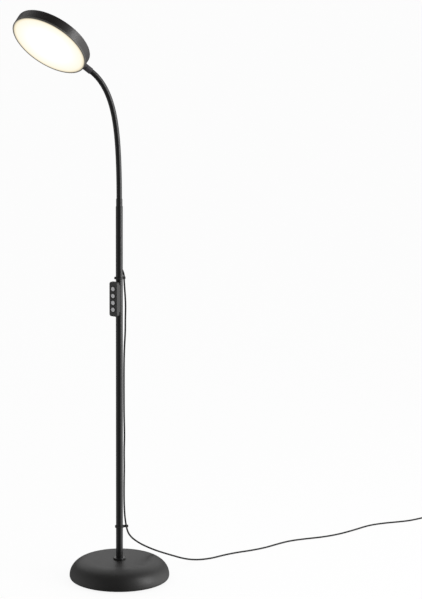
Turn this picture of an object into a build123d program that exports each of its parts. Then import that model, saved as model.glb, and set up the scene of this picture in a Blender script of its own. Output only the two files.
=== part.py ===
from build123d import *

import math
import os

# Gooseneck reading floor lamp. Millimetres, +Z up. The origin is the centre of the
# base's underside, on the floor. The gooseneck bends forward, towards -Y.

# ---------------------------------------------------------------- base
BASE_RADIUS = 116.2  # widest ring of the pebble-shaped cover
BASE_HEIGHT = 47.3  # floor to the flat top
BASE_WAIST_HEIGHT = 10.0  # height of the widest ring
BASE_TOP_RADIUS = 73.7  # the flat top, before the shoulder falls away
BASE_LIP_RADIUS = 112.4  # where the cover turns under
COVER_WALL = 1.5
PAD_RADIUS = 102.2
PAD_THICKNESS = 3.2
BOTTOM_PLATE_WALL = 1.5
WEIGHT_RADIUS = 95.0
WEIGHT_THICKNESS = 13.0
WEIGHT_HUB_RADIUS = 24.0
WEIGHT_EDGE = 2.0
NUT_WELL_RADIUS = 12.5
NUT_WELL_DEPTH = 11.5
STUD_RADIUS = 5.0
STUD_TIP_HEIGHT = 66.0
NUT_ACROSS_FLATS = 17.0
NUT_HEIGHT = 7.5
NUT_FLANGE_RADIUS = 10.5
NUT_FLANGE = 1.6
PLATE_SCREW_COUNT = 3
PLATE_SCREW_RING_RADIUS = 70.0
PLATE_SCREW_RADIUS = 2.0
PLATE_SCREW_LENGTH = 10.0

# ---------------------------------------------------------------- pole
POLE_RADIUS = 8.0
POLE_WALL = 1.2
POLE_SECTION_LENGTH = 276.13
POLE_SECTIONS = ("pole_lower", "pole_middle", "pole_upper")
JOINER_LENGTH = 40.0
JOINER_WALL = 2.0
FOOT_INSERT_LENGTH = 22.0
COLLAR_RADIUS = 14.4
COLLAR_HEIGHT = 4.0
SLIDE_FIT = 0.05  # radial play of a part that slips into or over another

# ---------------------------------------------------------------- gooseneck
NECK_RADIUS = 6.25
NECK_BORE_RADIUS = 3.5
NECK_LENGTH = 304.03
NECK_LINKS = 10
NECK_LEAN = 6.98  # degrees of bend shared evenly over the neck
NECK_CURL = 45.07  # degrees of bend that gather towards the head
NECK_GATHER = 4.02  # how strongly the curl gathers
CUP_CLEARANCE = 0.35  # between a link's ball and the cup that turns on it
LOWER_FERRULE_RADIUS = 7.2
LOWER_FERRULE_HEIGHT = 17.3
FERRULE_SPIGOT_LENGTH = 20.0
UPPER_FERRULE_RADIUS = 7.5
UPPER_FERRULE_LENGTH = 14.0

# ---------------------------------------------------------------- head
HEAD_RADIUS = 91.0
HEAD_THICKNESS = 23.7
HEAD_TURN = 26.6  # degrees that the head is turned about the neck's end, towards +X
HEAD_WALL = 1.8
HEAD_BACK_WALL = 2.0
HEAD_BACK_ROUND = 1.6
BEZEL_HEIGHT = 3.05
BEZEL_FACE_WIDTH = 1.9
BEZEL_WEB = 0.8
BEZEL_SKIRT_DEPTH = 2.5
BEZEL_SEAT_WIDTH = 2.5
DIFFUSER_THICKNESS = 2.0
DIFFUSER_PLAY = 0.1
LIGHT_GUIDE_RADIUS = 84.5
LIGHT_GUIDE_THICKNESS = 3.0
SHEET_THICKNESS = 0.5
SPREADER_THICKNESS = 1.2
STACK_GAP = 0.1  # between the layers of the light unit
STRIP_THICKNESS = 0.4
CHIP_COUNT = 48
CHIP_LENGTH = 2.8
CHIP_HEIGHT = 1.2
CHIP_DEPTH = 0.8
CHIP_SEAT = 0.05  # solder between a chip and its strip
HEAD_SCREW_COUNT = 4
HEAD_SCREW_RING_RADIUS = 70.0
HEAD_BOSS_RADIUS = 3.6
HEAD_SCREW_RADIUS = 1.5
HEAD_SCREW_HEAD_RADIUS = 2.8
HEAD_SCREW_HEAD_HEIGHT = 0.6
HEAD_SCREW_LENGTH = 9.0
STEM_OFFSET = 2.5  # the neck's axis lies this far behind the head's middle plane
SOCKET_LENGTH = 5.6
SOCKET_STEM_RADIUS = 5.0
SOCKET_STEM_LENGTH = 10.0
SOCKET_NUT_ACROSS_FLATS = 13.0
SOCKET_NUT_HEIGHT = 5.0
PIVOT_RADIUS = 4.0
PIVOT_HEAD_RADIUS = 4.7
PIVOT_HEAD_LENGTH = 1.2
PIVOT_BORE_RADIUS = 2.5
TURN_GAP = 0.3  # between the ferrule and the head's socket, which turn on each other
TERMINAL_BOARD = (22.0, 14.0, 1.6)
TERMINAL_BLOCK = (12.0, 7.0, 5.0)

# ---------------------------------------------------------------- controller
CONTROL_TURN = 42.0  # degrees from the front (-Y) towards +X
CONTROL_HEIGHT = 665.3  # its middle, above the floor
CONTROL_WIDTH = 22.0
CONTROL_LENGTH = 79.5
CONTROL_CORNER = 5.0
CONTROL_EDGE = 1.6
CONTROL_WALL = 1.5
CONTROL_BACK = 13.4  # pole axis to the back of the case
CONTROL_SHELL_DEPTH = 6.0
CONTROL_COVER_DEPTH = 4.0
SADDLE_WIDTH = 13.0
SADDLE_LENGTH = 62.0
BUTTONS = ("power_button", "brighter_button", "dimmer_button", "tone_button")
BUTTON_RADIUS = 4.9
BUTTON_PITCH = 15.9
BUTTON_PROUD = 0.8
BUTTON_TRAVEL = 0.6
BUTTON_PLAY = 0.3
BUTTON_FLANGE_RADIUS = 5.9
BUTTON_FLANGE = 0.7
BUTTON_EDGE = 0.35
BOARD_WIDTH = 17.6
BOARD_LENGTH = 72.0
BOARD_THICKNESS = 1.6
BOARD_RIB_HEIGHT = 1.3
SWITCH_SIZE = 6.0
SWITCH_HEIGHT = 1.4
SWITCH_PLUNGER_RADIUS = 1.6
SWITCH_PLUNGER_HEIGHT = 0.5
CASE_SCREW_SPACING = 50.0
CASE_SCREW_RADIUS = 1.5
CASE_SCREW_HEAD_RADIUS = 2.6
CASE_SCREW_HEAD_HEIGHT = 1.0
CASE_SCREW_REACH = 2.5  # how far a screw's tip stands inside the pole

# ---------------------------------------------------------------- wiring
POLE_WIRE_RADIUS = 1.5
CONTROL_WIRE_RADIUS = 1.3
WIRE_HOLE_RADIUS = 2.0

# ---------------------------------------------------------------- cord and its clips
CORD_RADIUS = 2.0
OUTLET_LIFT = 33.5  # from the upper clip to the lower face of the cord's outlet
OUTLET_TURN = 70.0  # degrees from the back (+Y) towards -X
OUTLET_REACH = 10.96  # pole axis to the cord's axis at the outlet
OUTLET_BODY = (6.8, 20.0)  # width and height
OUTLET_COVER = 1.1  # wall round the cord at the outlet
CLIP_HEIGHT = 5.0
CLIP_WALL = 1.6
CLIP_LOOP_WALL = 1.3
CLIP_TAB_WIDTH = 4.6
CLIP_FIT = 0.05
UPPER_LOOP_PLAY = 0.05  # between a clip's loop and the cord
LOWER_LOOP_PLAY = 0.35  # the cord leans through this one
UPPER_CLIP_LIFT = 6.45  # from the controller's top to the upper clip
UPPER_CLIP_REACH = 11.1  # pole axis to the cord's axis, on the +Y side
UPPER_CLIP_TAB = 11.4  # pole axis to the end of the tab, on the -Y side
LOWER_CLIP_HEIGHT = 125.5
LOWER_CLIP_REACH = 15.4
LOWER_CLIP_TAB = 10.2
LOWER_CLIP_END = 20.4  # pole axis to the tip of the lower clip's long arm

COIL_LEVEL = 2.9  # height of the lower layer's centreline
COIL_PITCH = 4.5  # from one turn to the next, beside it or above it
COIL_HALF_TURNS_IN = 5
COIL_HALF_TURNS_OUT = 6
COIL_OUTER_RADIUS = 28.0  # radius of the first half turn
COIL_TAIL = 8.0  # straight cord where the coil begins
COIL_EXIT = 17.0  # straight cord where it ends, until the adapter's boot
TIE_WALL = 0.7
TIE_WIDTH = 5.0
TIE_PLAY = 0.3

# ---------------------------------------------------------------- plug-in power adapter
BOOT_LENGTH = 22.0
BOOT_TIP_RADIUS = 2.9
BOOT_ROOT_RADIUS = 4.4
ADAPTER_WIDTH = 34.0
ADAPTER_HEIGHT = 28.0
ADAPTER_CASE_LENGTH = 48.0
ADAPTER_COVER_LENGTH = 9.0
ADAPTER_WALL = 2.0
ADAPTER_ROUND = 3.0
ADAPTER_SEAM_PLAY = 0.1
PIN_RADIUS = 2.0
PIN_LENGTH = 19.0
PIN_SHANK_RADIUS = 2.2  # in the cover's holes
PIN_SHANK_PROUD = 0.5
PIN_ROOT_FLANGE = 1.0
PIN_SPACING = 19.0
CONVERTER_BOARD = (28.0, 40.0, 1.6)
CONVERTER_CORE = (16.0, 15.0, 12.0)
CONVERTER_CAN_RADIUS = 4.0
CONVERTER_CAN_HEIGHT = 14.0

# ---------------------------------------------------------------- levels and planes
PLATE_LEVEL = PAD_THICKNESS
WEIGHT_LEVEL = PLATE_LEVEL + BOTTOM_PLATE_WALL
POLE_BORE_RADIUS = POLE_RADIUS - POLE_WALL
POLE_TOP = BASE_HEIGHT + len(POLE_SECTIONS) * POLE_SECTION_LENGTH
UPPER_CLIP_HEIGHT = CONTROL_HEIGHT + CONTROL_LENGTH / 2 + UPPER_CLIP_LIFT
OUTLET_HEIGHT = UPPER_CLIP_HEIGHT + OUTLET_LIFT
NECK_FOOT = POLE_TOP + LOWER_FERRULE_HEIGHT
CUP_RADIUS = NECK_RADIUS + CUP_CLEARANCE

turn = math.radians(CONTROL_TURN)
CONTROL = Plane(
    origin=(0, 0, CONTROL_HEIGHT),
    x_dir=(math.cos(turn), math.sin(turn), 0),
    z_dir=(math.sin(turn), -math.cos(turn), 0),
)
CONTROL_FRONT = CONTROL_BACK + CONTROL_SHELL_DEPTH + CONTROL_COVER_DEPTH
CONTROL_SEAM = CONTROL_BACK + CONTROL_SHELL_DEPTH
BOARD_LEVEL = CONTROL_BACK + CONTROL_WALL + BOARD_RIB_HEIGHT
button_rows = [(1.5 - row) * BUTTON_PITCH for row in range(len(BUTTONS))]

# The outlet stands on the pole's far side from the controller.
outlet_turn = math.radians(OUTLET_TURN)
OUTLET = Plane(
    origin=(0, 0, OUTLET_HEIGHT),
    x_dir=(-math.cos(outlet_turn), -math.sin(outlet_turn), 0),
    z_dir=(-math.sin(outlet_turn), math.cos(outlet_turn), 0),
)


def write(piece, name):
    """Label a finished piece and write it to its own STEP file."""
    piece.part.label = name
    export_step(piece.part, f"parts/{name}.step")


def neck_heading(share):
    """Angle of the neck from upright, in radians, at a share of its length."""
    return math.radians(NECK_LEAN * share + NECK_CURL * share**NECK_GATHER)


os.makedirs("parts", exist_ok=True)

# ================================================================ base
# A foam pad under a steel plate keeps the base from sliding and marking the floor.
with BuildPart() as base_pad:
    with BuildSketch():
        Circle(PAD_RADIUS)
    extrude(amount=PAD_THICKNESS)
write(base_pad, "base_pad")

with BuildPart() as base_bottom_plate:
    with BuildSketch(Plane.XY.offset(PLATE_LEVEL)):
        Circle(BASE_LIP_RADIUS - COVER_WALL - 0.3)
    extrude(amount=BOTTOM_PLATE_WALL)
    with Locations((0, 0, WEIGHT_LEVEL)):
        with PolarLocations(PLATE_SCREW_RING_RADIUS, PLATE_SCREW_COUNT, start_angle=90):
            Hole(PLATE_SCREW_RADIUS + 0.2)
write(base_bottom_plate, "base_bottom_plate")

# The cast weight: a disc, a hub that carries the cover, and a well for the nut.
with BuildPart() as base_weight:
    with BuildSketch(Plane.XY.offset(WEIGHT_LEVEL)):
        Circle(WEIGHT_RADIUS)
    extrude(amount=WEIGHT_THICKNESS)
    chamfer(base_weight.edges().group_by(Axis.Z)[-1], WEIGHT_EDGE)
    with BuildSketch(Plane.XY.offset(WEIGHT_LEVEL)):
        Circle(WEIGHT_HUB_RADIUS)
    extrude(amount=BASE_HEIGHT - COVER_WALL - WEIGHT_LEVEL)
    with BuildSketch(Plane.XY.offset(WEIGHT_LEVEL)):
        Circle(STUD_RADIUS + 0.3)
    extrude(amount=BASE_HEIGHT, mode=Mode.SUBTRACT)
    with BuildSketch(Plane.XY.offset(WEIGHT_LEVEL)):
        Circle(NUT_WELL_RADIUS)
    extrude(amount=NUT_WELL_DEPTH, mode=Mode.SUBTRACT)
    with BuildSketch(Plane.XY.offset(WEIGHT_LEVEL)):
        with PolarLocations(PLATE_SCREW_RING_RADIUS, PLATE_SCREW_COUNT, start_angle=90):
            Circle(PLATE_SCREW_RADIUS + SLIDE_FIT)
    extrude(amount=PLATE_SCREW_LENGTH, mode=Mode.SUBTRACT)
write(base_weight, "base_weight")

with BuildPart() as base_plate_screws:
    with BuildSketch(Plane.XY.offset(PLATE_LEVEL)):
        with PolarLocations(PLATE_SCREW_RING_RADIUS, PLATE_SCREW_COUNT, start_angle=90):
            Circle(PLATE_SCREW_RADIUS)
    extrude(amount=PLATE_SCREW_LENGTH)
write(base_plate_screws, "base_plate_screws")

# The pressed cover: two elliptic shoulders, over and under the widest ring.
with BuildPart() as base_cover:
    with BuildSketch(Plane.XZ):
        with BuildLine():
            under_rise = BASE_WAIST_HEIGHT - PLATE_LEVEL
            under_reach = BASE_RADIUS - BASE_LIP_RADIUS
            over_rise = BASE_HEIGHT - BASE_WAIST_HEIGHT
            over_reach = BASE_RADIUS - BASE_TOP_RADIUS
            lip_centre = (BASE_LIP_RADIUS, BASE_WAIST_HEIGHT)
            inner_lip_centre = (BASE_LIP_RADIUS - COVER_WALL, BASE_WAIST_HEIGHT)
            top_centre = (BASE_TOP_RADIUS, BASE_WAIST_HEIGHT)
            outer_under = EllipticalCenterArc(
                lip_centre, under_reach, under_rise, start_angle=270, arc_size=90
            )
            outer_over = EllipticalCenterArc(
                top_centre, over_reach, over_rise, start_angle=0, arc_size=90
            )
            inner_over = EllipticalCenterArc(
                top_centre,
                over_reach - COVER_WALL,
                over_rise - COVER_WALL,
                start_angle=0,
                arc_size=90,
            )
            inner_under = EllipticalCenterArc(
                inner_lip_centre, under_reach, under_rise, start_angle=270, arc_size=90
            )
            hole_edge = STUD_RADIUS + 0.3
            Polyline(
                outer_over @ 1,
                (hole_edge, BASE_HEIGHT),
                (hole_edge, BASE_HEIGHT - COVER_WALL),
                inner_over @ 1,
            )
            Line(inner_under @ 0, outer_under @ 0)
        make_face()
    revolve(axis=Axis.Z)
write(base_cover, "base_cover")

# A flanged nut in the weight's well clamps the cover and the pole's foot on the stud.
nut_level = WEIGHT_LEVEL + NUT_WELL_DEPTH - NUT_FLANGE - NUT_HEIGHT
with BuildPart() as base_nut:
    with BuildSketch(Plane.XY.offset(nut_level)):
        RegularPolygon(NUT_ACROSS_FLATS / 2, 6, major_radius=False)
    extrude(amount=NUT_HEIGHT)
    with BuildSketch(Plane.XY.offset(nut_level + NUT_HEIGHT)):
        Circle(NUT_FLANGE_RADIUS)
    extrude(amount=NUT_FLANGE)
    with BuildSketch(Plane.XY.offset(nut_level)):
        Circle(STUD_RADIUS + SLIDE_FIT)
    extrude(amount=NUT_HEIGHT + NUT_FLANGE, mode=Mode.SUBTRACT)
write(base_nut, "base_nut")

with BuildPart() as base_stud:
    with BuildSketch(Plane.XY.offset(nut_level)):
        Circle(STUD_RADIUS)
    extrude(amount=STUD_TIP_HEIGHT - nut_level)
    chamfer(base_stud.edges().group_by(Axis.Z)[-1], 1.0)
write(base_stud, "base_stud")

with BuildPart() as base_collar:
    with BuildSketch(Plane.XY.offset(BASE_HEIGHT)):
        Circle(COLLAR_RADIUS)
        Circle(POLE_RADIUS + SLIDE_FIT, mode=Mode.SUBTRACT)
    extrude(amount=COLLAR_HEIGHT)
    rim = base_collar.edges().group_by(Axis.Z)[-1].sort_by(SortBy.LENGTH)[-1]
    fillet(rim, 1.4)
write(base_collar, "base_collar")

# ================================================================ pole
with BuildPart() as pole_foot_insert:
    with BuildSketch(Plane.XY.offset(BASE_HEIGHT)):
        Circle(POLE_BORE_RADIUS - SLIDE_FIT)
        Circle(STUD_RADIUS + SLIDE_FIT, mode=Mode.SUBTRACT)
    extrude(amount=FOOT_INSERT_LENGTH)
write(pole_foot_insert, "pole_foot_insert")

def cut_pole_holes():
    """Holes for the controller's screws and wire, and for the outlet's wire."""
    with BuildSketch(CONTROL) as control_holes:
        with Locations((0, CASE_SCREW_SPACING / 2), (0, -CASE_SCREW_SPACING / 2)):
            Circle(CASE_SCREW_RADIUS + SLIDE_FIT)
        Circle(WIRE_HOLE_RADIUS)
    extrude(control_holes.sketch, amount=POLE_RADIUS + 1, mode=Mode.SUBTRACT)
    with BuildSketch(OUTLET) as outlet_hole:
        with Locations((0, OUTLET_BODY[1] / 2)):
            Circle(WIRE_HOLE_RADIUS)
    extrude(outlet_hole.sketch, amount=POLE_RADIUS + 1, mode=Mode.SUBTRACT)


for section, name in enumerate(POLE_SECTIONS):
    with BuildPart() as pole_section:
        with BuildSketch(Plane.XY.offset(BASE_HEIGHT + section * POLE_SECTION_LENGTH)):
            Circle(POLE_RADIUS)
            Circle(POLE_BORE_RADIUS, mode=Mode.SUBTRACT)
        extrude(amount=POLE_SECTION_LENGTH)
        cut_pole_holes()
    write(pole_section, name)

with BuildPart() as pole_joiners:
    for seam in range(1, len(POLE_SECTIONS)):
        seam_level = BASE_HEIGHT + seam * POLE_SECTION_LENGTH
        with BuildSketch(Plane.XY.offset(seam_level - JOINER_LENGTH / 2)):
            Circle(POLE_BORE_RADIUS - SLIDE_FIT)
            Circle(POLE_BORE_RADIUS - SLIDE_FIT - JOINER_WALL, mode=Mode.SUBTRACT)
        extrude(amount=JOINER_LENGTH)
    cut_pole_holes()
write(pole_joiners, "pole_joiners")

# ================================================================ gooseneck
# The lower ferrule plugs into the pole and carries the ball of the first bend.
with BuildPart() as neck_lower_ferrule:
    with BuildSketch(Plane.XY.offset(POLE_TOP - FERRULE_SPIGOT_LENGTH)):
        Circle(POLE_BORE_RADIUS - SLIDE_FIT)
    extrude(amount=FERRULE_SPIGOT_LENGTH)
    with BuildSketch(Plane.XY.offset(POLE_TOP)):
        Circle(LOWER_FERRULE_RADIUS)
    extrude(amount=LOWER_FERRULE_HEIGHT)
    fillet(neck_lower_ferrule.edges().group_by(Axis.Z)[-1], 0.8)
    with Locations((0, 0, NECK_FOOT)):
        Sphere(NECK_RADIUS, arc_size1=0, align=None)
    with BuildSketch(Plane.XY.offset(POLE_TOP - FERRULE_SPIGOT_LENGTH)):
        Circle(NECK_BORE_RADIUS)
    extrude(amount=2 * LOWER_FERRULE_HEIGHT + FERRULE_SPIGOT_LENGTH, mode=Mode.SUBTRACT)
write(neck_lower_ferrule, "neck_lower_ferrule")

# Each link is an arc of the neck's rest curve, with a cup at its foot and a ball at its
# top. The ball turns in the next link's cup.
link_length = NECK_LENGTH / NECK_LINKS
joint_points = [Vector(0, 0, NECK_FOOT)]
joint_headings = [neck_heading(0)]
for link in range(NECK_LINKS):
    heading = neck_heading(link / NECK_LINKS)
    next_heading = neck_heading((link + 1) / NECK_LINKS)
    arc_radius = link_length / (next_heading - heading)
    foot = joint_points[-1]
    with BuildPart() as gooseneck_link:
        with BuildLine(Plane.YZ):
            arc = JernArc(
                start=(foot.Y, foot.Z),
                tangent=(-math.sin(heading), math.cos(heading)),
                radius=arc_radius,
                arc_size=math.degrees(next_heading - heading),
            )
        with BuildSketch(Plane(origin=arc @ 0, z_dir=arc % 0)):
            Circle(NECK_RADIUS)
        sweep(path=arc)
        with Locations(Plane(origin=arc @ 1, z_dir=arc % 1)):
            Sphere(NECK_RADIUS, arc_size1=0, align=None)
        with BuildSketch(Plane(origin=arc @ 0, z_dir=arc % 0)):
            Circle(NECK_BORE_RADIUS)
        sweep(path=arc, mode=Mode.SUBTRACT)
        with BuildSketch(Plane(origin=arc @ 1, z_dir=arc % 1)):
            Circle(NECK_BORE_RADIUS)
        extrude(amount=2 * NECK_RADIUS, mode=Mode.SUBTRACT)
        with Locations(arc @ 0):
            Sphere(CUP_RADIUS, mode=Mode.SUBTRACT)
    write(gooseneck_link, f"gooseneck_link_{link + 1:02d}")
    joint_points.append(arc @ 1)
    joint_headings.append(next_heading)

# ---------------------------------------------------------------- neck end and head planes
neck_end = joint_points[-1]
outward = Vector(0, -math.sin(joint_headings[-1]), math.cos(joint_headings[-1]))
face_down = Vector(0, -math.cos(joint_headings[-1]), -math.sin(joint_headings[-1]))
head_turn = math.radians(HEAD_TURN)
face = face_down * math.cos(head_turn) + Vector(math.sin(head_turn), 0, 0)
NECK_END = Plane(origin=neck_end, x_dir=(1, 0, 0), z_dir=outward)
HEAD_SEAT = UPPER_FERRULE_LENGTH + TURN_GAP + SOCKET_LENGTH
head_centre = neck_end + outward * (HEAD_SEAT + HEAD_RADIUS) + face * STEM_OFFSET

# In the head's plane +X runs to the neck and +Z out of the head's back.
HEAD = Plane(origin=head_centre, x_dir=outward * -1, z_dir=face * -1)
STEM = Plane(origin=neck_end, x_dir=HEAD.z_dir, z_dir=outward)
FACE_LEVEL = -HEAD_THICKNESS / 2
BEZEL_TOP = FACE_LEVEL + BEZEL_HEIGHT
BACK_LEVEL = HEAD_THICKNESS / 2
DIFFUSER_LEVEL = BEZEL_TOP - BEZEL_WEB - DIFFUSER_THICKNESS
GUIDE_LEVEL = DIFFUSER_LEVEL + DIFFUSER_THICKNESS + STACK_GAP
SHEET_LEVEL = GUIDE_LEVEL + LIGHT_GUIDE_THICKNESS + STACK_GAP
SPREADER_LEVEL = SHEET_LEVEL + SHEET_THICKNESS + STACK_GAP
SPREADER_TOP = SPREADER_LEVEL + SPREADER_THICKNESS
HOUSING_BORE = HEAD_RADIUS - HEAD_WALL
SKIRT_RADIUS = HOUSING_BORE - 0.2
SEAT_BORE = SKIRT_RADIUS - BEZEL_SEAT_WIDTH
STRIP_RADIUS = SEAT_BORE - 0.2

# The upper ferrule ends in a hollow pivot that the head turns on. Its cup takes the
# last link's ball, and the pivot's spread end holds the socket.
pivot_length = TURN_GAP + SOCKET_LENGTH + SOCKET_STEM_LENGTH + TURN_GAP
with BuildPart() as neck_upper_ferrule:
    with BuildSketch(NECK_END):
        Circle(UPPER_FERRULE_RADIUS)
    extrude(amount=UPPER_FERRULE_LENGTH)
    fillet(neck_upper_ferrule.edges().filter_by(GeomType.CIRCLE), 0.6)
    with BuildSketch(NECK_END.offset(UPPER_FERRULE_LENGTH)):
        Circle(PIVOT_RADIUS)
    extrude(amount=pivot_length)
    with BuildSketch(NECK_END.offset(UPPER_FERRULE_LENGTH + pivot_length)):
        Circle(PIVOT_HEAD_RADIUS)
    extrude(amount=PIVOT_HEAD_LENGTH)
    with BuildSketch(NECK_END):
        Circle(PIVOT_BORE_RADIUS)
    extrude(amount=2 * pivot_length + UPPER_FERRULE_LENGTH, mode=Mode.SUBTRACT)
    with Locations(neck_end):
        Sphere(CUP_RADIUS, mode=Mode.SUBTRACT)
write(neck_upper_ferrule, "neck_upper_ferrule")

# ================================================================ head
with BuildPart() as head_socket:
    with BuildSketch(STEM.offset(UPPER_FERRULE_LENGTH + TURN_GAP)):
        Circle(UPPER_FERRULE_RADIUS)
    extrude(amount=SOCKET_LENGTH + HEAD_WALL)
    with BuildSketch(HEAD.offset(FACE_LEVEL)):
        Circle(HEAD_RADIUS + SLIDE_FIT)
    extrude(amount=HEAD_THICKNESS, mode=Mode.SUBTRACT)
    with BuildSketch(STEM.offset(HEAD_SEAT - 1)):
        Circle(SOCKET_STEM_RADIUS)
    extrude(amount=SOCKET_STEM_LENGTH + 1)
    with BuildSketch(STEM):
        Circle(PIVOT_RADIUS + SLIDE_FIT)
    extrude(amount=2 * HEAD_SEAT, mode=Mode.SUBTRACT)
write(head_socket, "head_socket")

boss_angles = 360 / HEAD_SCREW_COUNT
with BuildPart() as head_housing:
    with BuildSketch(HEAD.offset(BEZEL_TOP)):
        Circle(HEAD_RADIUS)
    extrude(amount=BACK_LEVEL - BEZEL_TOP)
    back_edge = head_housing.faces().sort_by(Axis(HEAD.origin, HEAD.z_dir))[-1].edges()
    fillet(back_edge, HEAD_BACK_ROUND)
    with BuildSketch(HEAD.offset(BEZEL_TOP)):
        Circle(HOUSING_BORE)
    extrude(amount=BACK_LEVEL - BEZEL_TOP - HEAD_BACK_WALL, mode=Mode.SUBTRACT)
    with BuildSketch(HEAD.offset(SPREADER_TOP)):
        with PolarLocations(HEAD_SCREW_RING_RADIUS, HEAD_SCREW_COUNT, start_angle=boss_angles / 2):
            Circle(HEAD_BOSS_RADIUS)
    extrude(amount=BACK_LEVEL - HEAD_BACK_WALL - SPREADER_TOP)
    with BuildSketch(HEAD.offset(SPREADER_TOP)):
        with PolarLocations(HEAD_SCREW_RING_RADIUS, HEAD_SCREW_COUNT, start_angle=boss_angles / 2):
            Circle(HEAD_SCREW_RADIUS + SLIDE_FIT)
    extrude(amount=HEAD_SCREW_LENGTH, mode=Mode.SUBTRACT)
    with BuildSketch(STEM.offset(HEAD_SEAT - HEAD_WALL)):
        Circle(SOCKET_STEM_RADIUS + SLIDE_FIT)
    extrude(amount=4 * HEAD_WALL, mode=Mode.SUBTRACT)
write(head_housing, "head_housing")

nut_seat = HEAD_SEAT + SOCKET_STEM_LENGTH - SOCKET_NUT_HEIGHT
with BuildPart() as socket_nut:
    with BuildSketch(STEM.offset(nut_seat)):
        RegularPolygon(SOCKET_NUT_ACROSS_FLATS / 2, 6, major_radius=False, rotation=30)
        Circle(SOCKET_STEM_RADIUS + SLIDE_FIT, mode=Mode.SUBTRACT)
    extrude(amount=SOCKET_NUT_HEIGHT)
write(socket_nut, "socket_nut")

# The bezel: a thin face ring round the diffuser, a seat behind it and a skirt that
# presses into the housing.
with BuildPart() as head_bezel:
    with BuildSketch(HEAD.offset(FACE_LEVEL)):
        Circle(HEAD_RADIUS)
        Circle(HEAD_RADIUS - BEZEL_FACE_WIDTH, mode=Mode.SUBTRACT)
    extrude(amount=BEZEL_HEIGHT)
    with BuildSketch(HEAD.offset(BEZEL_TOP - BEZEL_WEB)):
        Circle(HEAD_RADIUS)
        Circle(SEAT_BORE, mode=Mode.SUBTRACT)
    extrude(amount=BEZEL_WEB)
    with BuildSketch(HEAD.offset(BEZEL_TOP - BEZEL_WEB)):
        Circle(SKIRT_RADIUS)
        Circle(SEAT_BORE, mode=Mode.SUBTRACT)
    extrude(amount=BEZEL_WEB + BEZEL_SKIRT_DEPTH)
write(head_bezel, "head_bezel")

with BuildPart() as diffuser:
    with BuildSketch(HEAD.offset(DIFFUSER_LEVEL)):
        Circle(HEAD_RADIUS - BEZEL_FACE_WIDTH - DIFFUSER_PLAY)
    extrude(amount=DIFFUSER_THICKNESS)
write(diffuser, "diffuser")

with BuildPart() as light_guide:
    with BuildSketch(HEAD.offset(GUIDE_LEVEL)):
        Circle(LIGHT_GUIDE_RADIUS)
    extrude(amount=LIGHT_GUIDE_THICKNESS)
write(light_guide, "light_guide")

with BuildPart() as led_strip:
    with BuildSketch(HEAD.offset(GUIDE_LEVEL)):
        Circle(STRIP_RADIUS)
        Circle(STRIP_RADIUS - STRIP_THICKNESS, mode=Mode.SUBTRACT)
    extrude(amount=LIGHT_GUIDE_THICKNESS)
write(led_strip, "led_strip")

chip_radius = STRIP_RADIUS - STRIP_THICKNESS - CHIP_SEAT - CHIP_DEPTH / 2
chip_level = GUIDE_LEVEL + (LIGHT_GUIDE_THICKNESS - CHIP_HEIGHT) / 2
with BuildPart() as led_chips:
    with BuildSketch(HEAD.offset(chip_level)):
        with PolarLocations(chip_radius, CHIP_COUNT):
            Rectangle(CHIP_DEPTH, CHIP_LENGTH)
    extrude(amount=CHIP_HEIGHT)
write(led_chips, "led_chips")

with BuildPart() as reflector_sheet:
    with BuildSketch(HEAD.offset(SHEET_LEVEL)):
        Circle(STRIP_RADIUS)
    extrude(amount=SHEET_THICKNESS)
write(reflector_sheet, "reflector_sheet")

with BuildPart() as heat_spreader:
    with BuildSketch(HEAD.offset(SPREADER_LEVEL)):
        Circle(STRIP_RADIUS)
        with PolarLocations(HEAD_SCREW_RING_RADIUS, HEAD_SCREW_COUNT, start_angle=boss_angles / 2):
            Circle(HEAD_SCREW_RADIUS + SLIDE_FIT, mode=Mode.SUBTRACT)
    extrude(amount=SPREADER_THICKNESS)
    with BuildSketch(HEAD.offset(SPREADER_LEVEL)):
        with PolarLocations(HEAD_SCREW_RING_RADIUS, HEAD_SCREW_COUNT, start_angle=boss_angles / 2):
            Circle(HEAD_SCREW_HEAD_RADIUS + SLIDE_FIT)
    extrude(amount=HEAD_SCREW_HEAD_HEIGHT, mode=Mode.SUBTRACT)
write(heat_spreader, "heat_spreader")

with BuildPart() as head_screws:
    with BuildSketch(HEAD.offset(SPREADER_LEVEL)):
        with PolarLocations(HEAD_SCREW_RING_RADIUS, HEAD_SCREW_COUNT, start_angle=boss_angles / 2):
            Circle(HEAD_SCREW_HEAD_RADIUS)
    extrude(amount=HEAD_SCREW_HEAD_HEIGHT)
    with BuildSketch(HEAD.offset(SPREADER_LEVEL)):
        with PolarLocations(HEAD_SCREW_RING_RADIUS, HEAD_SCREW_COUNT, start_angle=boss_angles / 2):
            Circle(HEAD_SCREW_RADIUS)
    extrude(amount=HEAD_SCREW_LENGTH)
write(head_screws, "head_screws")

board_reach = HEAD_RADIUS - SOCKET_STEM_LENGTH - TERMINAL_BOARD[0]
with BuildPart() as terminal_board:
    with BuildSketch(HEAD.offset(SPREADER_TOP)):
        with Locations((board_reach, 0)):
            Rectangle(TERMINAL_BOARD[0], TERMINAL_BOARD[1])
    extrude(amount=TERMINAL_BOARD[2])
    with BuildSketch(HEAD.offset(SPREADER_TOP + TERMINAL_BOARD[2])):
        with Locations((board_reach, 0)):
            Rectangle(TERMINAL_BLOCK[0], TERMINAL_BLOCK[1])
    extrude(amount=TERMINAL_BLOCK[2])
write(terminal_board, "terminal_board")

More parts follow.
